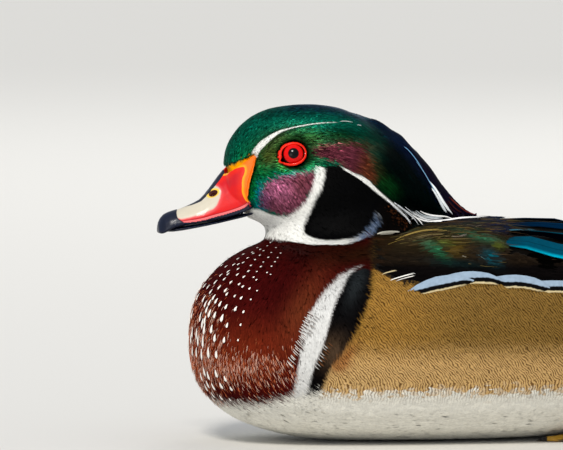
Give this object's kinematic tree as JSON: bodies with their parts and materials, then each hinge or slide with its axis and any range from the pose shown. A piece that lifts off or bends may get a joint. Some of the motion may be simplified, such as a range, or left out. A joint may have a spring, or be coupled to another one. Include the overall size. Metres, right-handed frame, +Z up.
{
  "type": "drake wood duck, still life-size model",
  "caption": "Still life-size model of a drake wood duck afloat, neck drawn in and crest laid back, resting on a flat of its belly with its webbed feet tucked beneath.",
  "frame": {"origin": "on the floor under the middle of the duck's box", "axes": "+Z up, +X towards the tail with the bill at -X, the duck's left side at -Y"},
  "size_m": [0.4237, 0.1332, 0.141],
  "materials": {
    "breast": "short body feathers, maroon breast and buff flanks, matt with a soft sheen",
    "white": "short white throat and collar feathers, matt",
    "head": "fine iridescent feathers, green and purple, silky",
    "crest": "long silky feathers, green to navy with white lines",
    "wing": "smooth flight feathers and coverts, bronze, green and blue sheen",
    "tail": "smooth black tail feathers with a green gloss",
    "bill": "smooth horn, red base, white sides, black ridge and nail, yellow edge, slightly moist",
    "bill_dark": "smooth black horn",
    "eye": "wet and clear, red iris round a black pupil",
    "lid": "bare orange-red skin ring",
    "leg": "dull yellow scaled skin with dusky webs"
  },
  "bodies": {
    "root": {"torso": "breast", "neck": "white", "head": "head", "crest": "crest", "bill_upper": "bill", "bill_lower": "bill_dark", "eye_left": "eye", "eye_right": "eye", "lid_left": "lid", "lid_right": "lid", "wing_left": "wing", "wing_right": "wing", "tail": "tail", "leg_left": "leg", "leg_right": "leg", "foot_left": "leg", "foot_right": "leg"}
  },
  "joints": []
}
